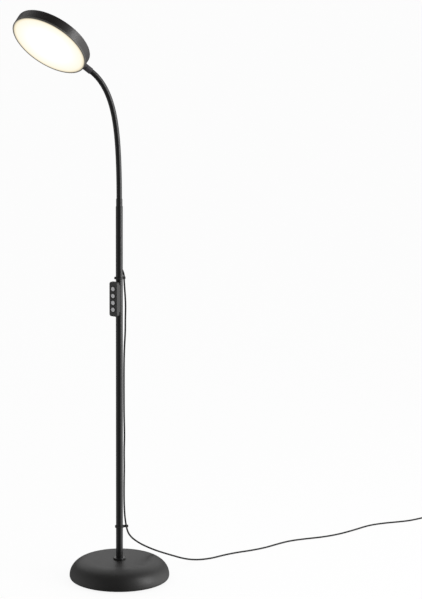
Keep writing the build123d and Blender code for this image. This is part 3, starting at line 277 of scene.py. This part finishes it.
connect(
    surface_detail,
    (place, "Object", grain, "Vector"),
    (place, "Object", patches, "Vector"),
    (given, "Grain Per Metre", grain, "Scale"),
    (given, "Patch Per Metre", patches, "Scale"),
    (grain, "Fac", dust_share, 0),
    (patches, "Fac", dust_share, 1),
    (dust_share, 0, tint, "Factor"),
    (given, "Color", tint, "A"),
    (given, "Dust Color", tint, "B"),
    (patches, "Fac", centred, 0),
    (centred, 0, spread, 0),
    (given, "Roughness Spread", spread, 1),
    (given, "Roughness", spread, 2),
    (tint, "Result", made, "Color"),
    (spread, 0, made, "Roughness"),
    (grain, "Fac", made, "Height"),
)
print("group made:", surface_detail.name)

# %% A finish that uses the group
GRAIN_DEPTH = 0.0004
finishes = {}


def new_finish(name):
    """An empty material with its Principled shader and node tree."""
    material = bpy.data.materials.new(name)
    material.use_nodes = True
    finishes[name] = material
    return material.node_tree, material.node_tree.nodes["Principled BSDF"]


def grained_finish(name, color, dust, roughness, grain, patch, spread, bump, **sockets):
    """Color, roughness and a fine bump from the surface group; other sockets are plain."""
    tree, shader = new_finish(name)
    values = {
        "Color": (*color, 1), "Dust Color": (*dust, 1),
        "Grain Per Metre": grain, "Patch Per Metre": patch,
        "Roughness": roughness, "Roughness Spread": spread,
    }
    detail = add_node(tree, "ShaderNodeGroup", values, node_tree=surface_detail)
    relief = add_node(tree, "ShaderNodeBump", {"Strength": bump, "Distance": GRAIN_DEPTH})
    connect(
        tree,
        (detail, "Color", shader, "Base Color"),
        (detail, "Roughness", shader, "Roughness"),
        (detail, "Height", relief, "Height"),
        (relief, "Normal", shader, "Normal"),
    )
    for socket, value in sockets.items():
        shader.inputs[socket.replace("_", " ")].default_value = value


print("grained finish ready")

# %% [markdown]
# The outside finishes: powder coat on the pole, enamel on the base's cover, the neck's
# sleeve and its lighter ferrule, the head's shell and bezel, the controller's case and
# buttons, the clips, the lead's jacket, the adapter and the foam pad under the base.

# %% Outside finishes
grained_finish(
    "satin powder coat", grey(0.0035), grey(0.009),
    roughness=0.30, grain=1400, patch=9, spread=0.08, bump=0.10,
)
grained_finish(
    "base enamel", (0.005, 0.0046, 0.0043), (0.014, 0.013, 0.0125),
    roughness=0.44, grain=1400, patch=9, spread=0.10, bump=0.12,
)
grained_finish(
    "neck sleeve", grey(0.003), grey(0.009),
    roughness=0.32, grain=1800, patch=20, spread=0.08, bump=0.05,
)
grained_finish(
    "head shell", (0.007, 0.005, 0.0045), (0.017, 0.013, 0.012),
    roughness=0.34, grain=1500, patch=12, spread=0.10, bump=0.10,
)
grained_finish(
    "controller case", grey(0.014), grey(0.045),
    roughness=0.50, grain=2600, patch=40, spread=0.12, bump=0.30,
)
grained_finish(
    "button surround", grey(0.004), grey(0.010),
    roughness=0.35, grain=2600, patch=60, spread=0.08, bump=0.05,
)
grained_finish(
    "button", (0.42, 0.42, 0.43), grey(0.52),
    roughness=0.45, grain=3000, patch=60, spread=0.10, bump=0.15,
)
grained_finish(
    "clip plastic", grey(0.006), grey(0.016),
    roughness=0.45, grain=2600, patch=60, spread=0.10, bump=0.10,
)
grained_finish(
    "cord jacket", grey(0.004), grey(0.010),
    roughness=0.55, grain=2600, patch=30, spread=0.10, bump=0.10, Specular_IOR_Level=0.25,
)
grained_finish(
    "ferrule", (0.030, 0.027, 0.031), (0.055, 0.050, 0.055),
    roughness=0.42, grain=1400, patch=12, spread=0.10, bump=0.10,
)
grained_finish(
    "bezel", (0.060, 0.056, 0.050), (0.090, 0.085, 0.076),
    roughness=0.45, grain=1500, patch=12, spread=0.10, bump=0.10,
)
grained_finish(
    "adapter plastic", grey(0.012), grey(0.030),
    roughness=0.55, grain=2200, patch=30, spread=0.10, bump=0.45,
)
grained_finish(
    "foam pad", grey(0.010), (0.035, 0.033, 0.031),
    roughness=0.92, grain=1100, patch=60, spread=0.05, bump=0.90,
)
print("outside finishes", len(finishes))

# %% [markdown]
# The inside finishes show only when a part is opened or seen alone: zinc on the screws,
# grey primer on the cast weight, solder mask on the boards, clear acrylic and white film
# in the head's light unit. The adapter's pins are nickel plated.

# %% Inside finishes
grained_finish(
    "zinc plate", (0.50, 0.50, 0.48), (0.62, 0.60, 0.55),
    roughness=0.34, grain=700, patch=60, spread=0.16, bump=0.05, Metallic=1.0,
)
grained_finish(
    "drawn steel", (0.46, 0.46, 0.47), (0.36, 0.35, 0.34),
    roughness=0.30, grain=500, patch=40, spread=0.16, bump=0.05, Metallic=1.0,
)
grained_finish(
    "mill aluminium", (0.72, 0.73, 0.74), (0.64, 0.65, 0.66),
    roughness=0.32, grain=900, patch=20, spread=0.12, bump=0.04, Metallic=1.0,
)
grained_finish(
    "nickel", (0.66, 0.64, 0.60), (0.60, 0.58, 0.54),
    roughness=0.18, grain=900, patch=80, spread=0.08, bump=0.02, Metallic=1.0,
)
grained_finish(
    "primed iron", grey(0.10), (0.16, 0.155, 0.15),
    roughness=0.70, grain=420, patch=25, spread=0.10, bump=0.80,
)
grained_finish(
    "solder mask", (0.012, 0.10, 0.035), (0.03, 0.16, 0.06),
    roughness=0.38, grain=600, patch=160, spread=0.14, bump=0.12,
)
grained_finish(
    "white film", (0.88, 0.88, 0.86), (0.92, 0.92, 0.90),
    roughness=0.60, grain=1200, patch=20, spread=0.06, bump=0.04,
)
grained_finish(
    "led phosphor", (0.85, 0.66, 0.16), (0.90, 0.74, 0.25),
    roughness=0.45, grain=2600, patch=200, spread=0.10, bump=0.05,
)
grained_finish(
    "clear acrylic", (0.93, 0.95, 0.96), (0.90, 0.93, 0.94),
    roughness=0.08, grain=300, patch=10, spread=0.03, bump=0.01,
    IOR=1.49, Transmission_Weight=0.85,
)
print("finishes", len(finishes))

# %% [markdown]
# The diffuser glows. Its light comes from chips round the rim through a clear plate, so
# the disc is an even white over its middle. Towards the edge it turns creamy, and where it
# meets the bezel the glow is painted darker, a painted shade of the bezel's gap. The
# distance from the disc's middle drives that change, read from Object coordinates.

# %% Glowing diffuser
low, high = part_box("diffuser")
disc_centre = (Vector(low) + Vector(high)) / 2
DISC_RADIUS = 0.089
EVEN_SHARE = 0.55
DISC_COLOR = (0.04, 0.04, 0.038)
GLOW_AND_BEZEL_SHADE_STOPS = (
    (0.10, (1.0, 1.0, 0.985)),
    (0.80, (0.98, 0.93, 0.78)),
    (0.93, (0.90, 0.80, 0.58)),
    # Painted shade: this last, darker stop paints the bezel's shadow gap into the glow's rim.
    (0.97, (0.42, 0.38, 0.30)),
)
tree, shader = new_finish("lit diffuser")
place = add_node(tree, "ShaderNodeTexCoord")
away = add_node(tree, "ShaderNodeVectorMath", {1: disc_centre}, operation="DISTANCE")
rim = add_node(
    tree, "ShaderNodeMapRange", {"From Min": DISC_RADIUS * EVEN_SHARE, "From Max": DISC_RADIUS}
)
glow = add_node(tree, "ShaderNodeValToRGB")
color_stops(glow, GLOW_AND_BEZEL_SHADE_STOPS)
connect(
    tree,
    (place, "Object", away, 0),
    (away, "Value", rim, "Value"),
    (rim, "Result", glow, "Fac"),
    (glow, "Color", shader, "Emission Color"),
)
shader.inputs["Emission Strength"].default_value = 1.0
shader.inputs["Base Color"].default_value = (*DISC_COLOR, 1)
shader.inputs["Roughness"].default_value = 0.45
print("disc centre", [round(v, 4) for v in disc_centre])

# %% Give every frame node its finish
LINKS = 10
node_finish = {
    "base enamel": "base_cover",
    "satin powder coat": "base_collar pole_lower pole_middle pole_upper neck_lower_ferrule",
    "ferrule": "neck_upper_ferrule head_socket",
    "head shell": "head_housing",
    "bezel": "head_bezel",
    "controller case": "control_saddle control_back_shell control_front_cover",
    "button": "power_button brighter_button dimmer_button tone_button",
    "clip plastic": "upper_cord_clip lower_cord_clip cord_outlet coil_tie",
    "cord jacket": "cord_pole_run cord_floor_run cord_coil adapter_boot wiring",
    "adapter plastic": "adapter_case adapter_cover control_switches",
    "nickel": "adapter_pins",
    "foam pad": "base_pad",
    "zinc plate": "base_bottom_plate base_plate_screws base_nut control_screws "
    "head_screws socket_nut",
    "drawn steel": "base_stud pole_foot_insert pole_joiners",
    "primed iron": "base_weight",
    "solder mask": "control_board terminal_board converter_board",
    "mill aluminium": "heat_spreader",
    "clear acrylic": "light_guide",
    "white film": "reflector_sheet led_strip",
    "led phosphor": "led_chips",
    "lit diffuser": "diffuser",
    "neck sleeve": " ".join(f"gooseneck_link_{n:02d}" for n in range(1, LINKS + 1)),
}
for finish, names in node_finish.items():
    for name in names.split():
        nodes[name].data.materials.clear()
        nodes[name].data.materials.append(finishes[finish])
dressed = {name for names in node_finish.values() for name in names.split()}
print("nodes without a finish:", sorted(set(nodes) - dressed))

# %% [markdown]
# ## The neck's sleeve
#
# Inside the neck a chain of short links bends at eleven ball joints, but what shows is
# one smooth sleeve. The sleeve is made in eleven lengths. Each runs from the middle of
# one link to the middle of the next and bends over the single joint between them, so
# together they look like one tube.
#
# The neck's curve follows a rule: its heading grows slowly at first and then gathers
# towards the head. Adding up short steps along that heading gives the centreline.

# %% Centreline of the neck
NECK_FOOT = 0.89299
NECK_LENGTH = 0.30403
NECK_LEAN, NECK_CURL, NECK_GATHER = 6.98, 45.07, 4.02
STEPS_PER_LINK = 16
STRIDE = NECK_LENGTH / LINKS / STEPS_PER_LINK


def neck_heading(share):
    """Angle from upright, in radians, at a share of the neck's length."""
    return math.radians(NECK_LEAN * share + NECK_CURL * share**NECK_GATHER)


# Link by link the CAD neck is a chain of arcs, so the steps follow those arcs.
centreline = [Vector((0, 0, NECK_FOOT))]
for step in range(LINKS * STEPS_PER_LINK):
    link_index, within = divmod(step, STEPS_PER_LINK)
    first, last = neck_heading(link_index / LINKS), neck_heading((link_index + 1) / LINKS)
    heading = first + (last - first) * (within + 0.5) / STEPS_PER_LINK
    centreline.append(centreline[-1] + Vector((0, -math.sin(heading), math.cos(heading))) * STRIDE)
print("neck ends at", [round(v / MM, 1) for v in centreline[-1]])

# %% [markdown]
# Geometry Nodes turn each stretch of that line into a tube: the line becomes a curve,
# and a circle of the sleeve's radius is swept along it. The tree has named inputs, so
# the same one makes every length.

# %% Geometry Nodes tree for a tube along a line
GEOMETRY = ("Geometry", "NodeSocketGeometry")
FINISH = ("Finish", "NodeSocketMaterial")
tube_tree, given, made = new_tree(
    "tube along a line",
    "GeometryNodeTree",
    [GEOMETRY, ("Radius", FLOAT), ("Sides", "NodeSocketInt"), FINISH],
    [GEOMETRY],
)
to_curve = add_node(tube_tree, "GeometryNodeMeshToCurve")
hoop = add_node(tube_tree, "GeometryNodeCurvePrimitiveCircle")
sweep = add_node(tube_tree, "GeometryNodeCurveToMesh", {"Fill Caps": True})
smooth = add_node(tube_tree, "GeometryNodeSetShadeSmooth")
coat = add_node(tube_tree, "GeometryNodeSetMaterial")
connect(
    tube_tree,
    (given, "Geometry", to_curve, "Mesh"),
    (given, "Radius", hoop, "Radius"),
    (given, "Sides", hoop, "Resolution"),
    (to_curve, "Curve", sweep, "Curve"),
    (hoop, "Curve", sweep, "Profile Curve"),
    (sweep, "Mesh", smooth, "Geometry"),
    (smooth, "Geometry", coat, "Geometry"),
    (given, "Finish", coat, "Material"),
    (coat, "Geometry", made, "Geometry"),
)


def grow(name, base_mesh, tree, values):
    """Run a geometry tree on a mesh and keep the result as a plain mesh object."""
    source = bpy.data.objects.new(name + "_source", base_mesh)
    bpy.context.collection.objects.link(source)
    modifier = source.modifiers.new("nodes", "NODES")
    modifier.node_group = tree
    for socket in tree.interface.items_tree:
        if socket.item_type == "SOCKET" and socket.in_out == "INPUT" and socket.name in values:
            modifier[socket.identifier] = values[socket.name]
    evaluated = source.evaluated_get(bpy.context.evaluated_depsgraph_get())
    result = bpy.data.objects.new(name, bpy.data.meshes.new_from_object(evaluated))
    bpy.context.collection.objects.link(result)
    bpy.data.objects.remove(source)
    result.data.name = name
    return result


print("tree made:", tube_tree.name)

# %% Eleven lengths of sleeve
SLEEVE_RADIUS = 0.00625
SLEEVE_SIDES = 40
half = STEPS_PER_LINK // 2
for joint in range(LINKS + 1):
    middle = joint * STEPS_PER_LINK
    stretch = centreline[max(middle - half, 0) : middle + half + 1]
    edges = [(i, i + 1) for i in range(len(stretch) - 1)]
    line = bpy.data.meshes.new("line")
    line.from_pydata([tuple(p) for p in stretch], edges, [])
    sleeve = grow(
        f"neck_sleeve_{joint + 1:02d}", line, tube_tree,
        {"Radius": SLEEVE_RADIUS, "Sides": SLEEVE_SIDES, "Finish": finishes["neck sleeve"]},
    )
    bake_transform(sleeve)
    if joint < LINKS:
        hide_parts(f"gooseneck_link_{joint + 1:02d}")
    print(sleeve.name, "faces", len(sleeve.data.polygons))

# %% [markdown]
# ## Rings round the buttons
#
# A black ring frames each of the four round buttons. The rings are alike and stand in a
# row, so Geometry Nodes place one ring on every point of a short line and turn it to
# face the way the controller faces. The ring is a circle swept with a small rectangle.

# %% Geometry Nodes tree for rings on points
RING_SIDES = 48
ring_tree, given, made = new_tree(
    "ring on each point",
    "GeometryNodeTree",
    [
        GEOMETRY, ("Radius", FLOAT), ("Width", FLOAT), ("Height", FLOAT),
        ("Turn", "NodeSocketVector"), FINISH,
    ],
    [GEOMETRY],
)
circle = add_node(ring_tree, "GeometryNodeCurvePrimitiveCircle", {"Resolution": RING_SIDES})
section = add_node(ring_tree, "GeometryNodeCurvePrimitiveQuadrilateral")
one_ring = add_node(ring_tree, "GeometryNodeCurveToMesh")
on_points = add_node(ring_tree, "GeometryNodeInstanceOnPoints")
real = add_node(ring_tree, "GeometryNodeRealizeInstances")
coat = add_node(ring_tree, "GeometryNodeSetMaterial")
connect(
    ring_tree,
    (given, "Radius", circle, "Radius"),
    (given, "Width", section, "Width"),
    (given, "Height", section, "Height"),
    (circle, "Curve", one_ring, "Curve"),
    (section, "Curve", one_ring, "Profile Curve"),
    (given, "Geometry", on_points, "Points"),
    (one_ring, "Mesh", on_points, "Instance"),
    (given, "Turn", on_points, "Rotation"),
    (on_points, "Instances", real, "Geometry"),
    (real, "Geometry", coat, "Geometry"),
    (given, "Finish", coat, "Material"),
    (coat, "Geometry", made, "Geometry"),
)
print("tree made:", ring_tree.name)

# %% Four rings on the controller's front
CONTROL_TURN = math.radians(42)
CONTROL_MIDDLE = 0.6653
CONTROL_FRONT = 0.0234
BUTTON_PITCH = 0.0159
PITCHES_FROM_MIDDLE = (-1.5, -0.5, 0.5, 1.5)
RING_RADIUS, RING_WIDTH, RING_HEIGHT = 0.0064, 0.0022, 0.0004
control_faces = Vector((math.sin(CONTROL_TURN), -math.cos(CONTROL_TURN), 0))
middles = [
    control_faces * CONTROL_FRONT + UPWARD * (CONTROL_MIDDLE + BUTTON_PITCH * k)
    for k in PITCHES_FROM_MIDDLE
]
row = bpy.data.meshes.new("row of buttons")
row.from_pydata([tuple(p) for p in middles], [], [])
surrounds = grow(
    "button_surrounds", row, ring_tree,
    {
        "Radius": RING_RADIUS, "Width": RING_WIDTH, "Height": RING_HEIGHT,
        "Turn": (math.pi / 2, 0, CONTROL_TURN), "Finish": finishes["button surround"],
    },
)
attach(surrounds, "stand")
print("rings", len(surrounds.data.polygons), "faces")

# %% [markdown]
# ## Stage and light
#
# The picture is a cut-out on pure white. The floor is a pale matte sheet that the camera
# sees almost as white, and it still takes the lamp's soft shadow. Glossy black shows the
# room around it more than its own color, so the room is made for the mirror: glossy rays
# pass through the floor and meet a graded room, bright on the picture's right, dim on its
# left and nearly dark straight ahead.

# %% Floor
REACH = 60.0
PAPER_GREY = 0.90
SEEN_WHITE_SHARE = 0.90
floor_mesh = bpy.data.meshes.new("floor")
corners = [(-REACH, -REACH, 0), (REACH, -REACH, 0), (REACH, REACH, 0), (-REACH, REACH, 0)]
floor_mesh.from_pydata(corners, [], [(0, 1, 2, 3)])
floor = bpy.data.objects.new("floor", floor_mesh)
bpy.context.collection.objects.link(floor)
paper = bpy.data.materials.new("white paper")
paper.use_nodes = True
floor_mesh.materials.append(paper)
tree = paper.node_tree
shader = tree.nodes["Principled BSDF"]
shader.inputs["Base Color"].default_value = (*grey(PAPER_GREY), 1)
shader.inputs["Roughness"].default_value = 0.9
shader.inputs["Specular IOR Level"].default_value = 0.0
rays = add_node(tree, "ShaderNodeLightPath")
share = add_node(tree, "ShaderNodeMath", {1: SEEN_WHITE_SHARE}, operation="MULTIPLY")
white = add_node(tree, "ShaderNodeEmission")
see_through = add_node(tree, "ShaderNodeBsdfTransparent")
for_eye = add_node(tree, "ShaderNodeMixShader")
for_gloss = add_node(tree, "ShaderNodeMixShader")
connect(
    tree,
    (rays, "Is Camera Ray", share, 0),
    (share, 0, for_eye, "Fac"),
    (shader, "BSDF", for_eye, 1),
    (white, "Emission", for_eye, 2),
    (rays, "Is Glossy Ray", for_gloss, "Fac"),
    (for_eye, "Shader", for_gloss, 1),
    (see_through, "BSDF", for_gloss, 2),
    (for_gloss, "Shader", tree.nodes["Material Output"], "Surface"),
)
print("floor reaches", REACH)

# %% [markdown]
# The world is three skies in one: a plain grey one that lights, the graded room that
# glossy surfaces mirror, and a white one that the camera sees.

# %% World
SKY_GREY = 0.62
MIRRORED_STRENGTH = 2.0
ROOM_STOPS = ((0.0, 0.34), (0.22, 0.10), (0.55, 0.06), (0.82, 0.28), (1.0, 1.0))
world = bpy.data.worlds.new("studio")
bpy.context.scene.world = world
world.use_nodes = True
tree = world.node_tree
direction = add_node(tree, "ShaderNodeTexCoord")
facing = add_node(tree, "ShaderNodeVectorMath", {1: picture_right}, operation="DOT_PRODUCT")
left_to_right = add_node(tree, "ShaderNodeMapRange", {"From Min": -1, "From Max": 1})
room = add_node(tree, "ShaderNodeValToRGB")
color_stops(room, [(position, grey(level)) for position, level in ROOM_STOPS])
sky = tree.nodes["Background"]
sky.inputs["Color"].default_value = (*grey(SKY_GREY), 1)
mirrored = add_node(tree, "ShaderNodeBackground", {"Strength": MIRRORED_STRENGTH})
seen = add_node(tree, "ShaderNodeBackground", {"Color": (1, 1, 1, 1)})
rays = add_node(tree, "ShaderNodeLightPath")
for_gloss = add_node(tree, "ShaderNodeMixShader")
for_eye = add_node(tree, "ShaderNodeMixShader")
connect(
    tree,
    (direction, "Generated", facing, 0),
    (facing, "Value", left_to_right, "Value"),
    (left_to_right, "Result", room, "Fac"),
    (room, "Color", mirrored, "Color"),
    (rays, "Is Glossy Ray", for_gloss, "Fac"),
    (sky, "Background", for_gloss, 1),
    (mirrored, "Background", for_gloss, 2),
    (rays, "Is Camera Ray", for_eye, "Fac"),
    (for_gloss, "Shader", for_eye, 1),
    (seen, "Background", for_eye, 2),
    (for_eye, "Shader", tree.nodes["World Output"], "Surface"),
)
print("world made:", world.name)

# %% [markdown]
# Two lamps add the highlights. A very broad sun shines down from beyond the lamp towards
# the camera, so it grazes the shoulders of the base. A tall softbox on the right draws
# the light edge along the pole.

# %% Lamps
SUN_ENERGY = 0.9
SUN_ANGLE = math.radians(70)
SUN_DROP = 1.1
STRIP_PLACE = picture_right * 2.2 + toward_camera * 0.9 + UPWARD * 1.2
STRIP_SIZE = (0.7, 2.2)
STRIP_POWER = 30
STRIP_TARGET = UPWARD * 0.7


def hang(light, place, shines_along):
    """Put a light at a place and aim it along a direction."""
    lamp = bpy.data.objects.new(light.name, light)
    lamp.location = place
    lamp.rotation_euler = shines_along.to_track_quat("-Z", "Y").to_euler()
    bpy.context.collection.objects.link(lamp)


sun = bpy.data.lights.new("sun from beyond", "SUN")
sun.energy = SUN_ENERGY
sun.angle = SUN_ANGLE
hang(sun, Vector(), toward_camera - UPWARD * SUN_DROP)
strip = bpy.data.lights.new("right strip", "AREA")
strip.shape = "RECTANGLE"
strip.size, strip.size_y = STRIP_SIZE
strip.energy = STRIP_POWER
hang(strip, STRIP_PLACE, STRIP_TARGET - STRIP_PLACE)
print("lamps", len(bpy.data.lights))

# %% [markdown]
#
# The lead takes the cord's jacket and moves with the stand. It replaces the plain tubes of
# the frame, which are hidden; the frame's boot, adapter and tie stay as they are.

# %% The lead on the stand
lead.data.materials.append(finishes["cord jacket"])
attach(lead, "stand")
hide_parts("cord_pole_run", "cord_floor_run", "cord_coil")
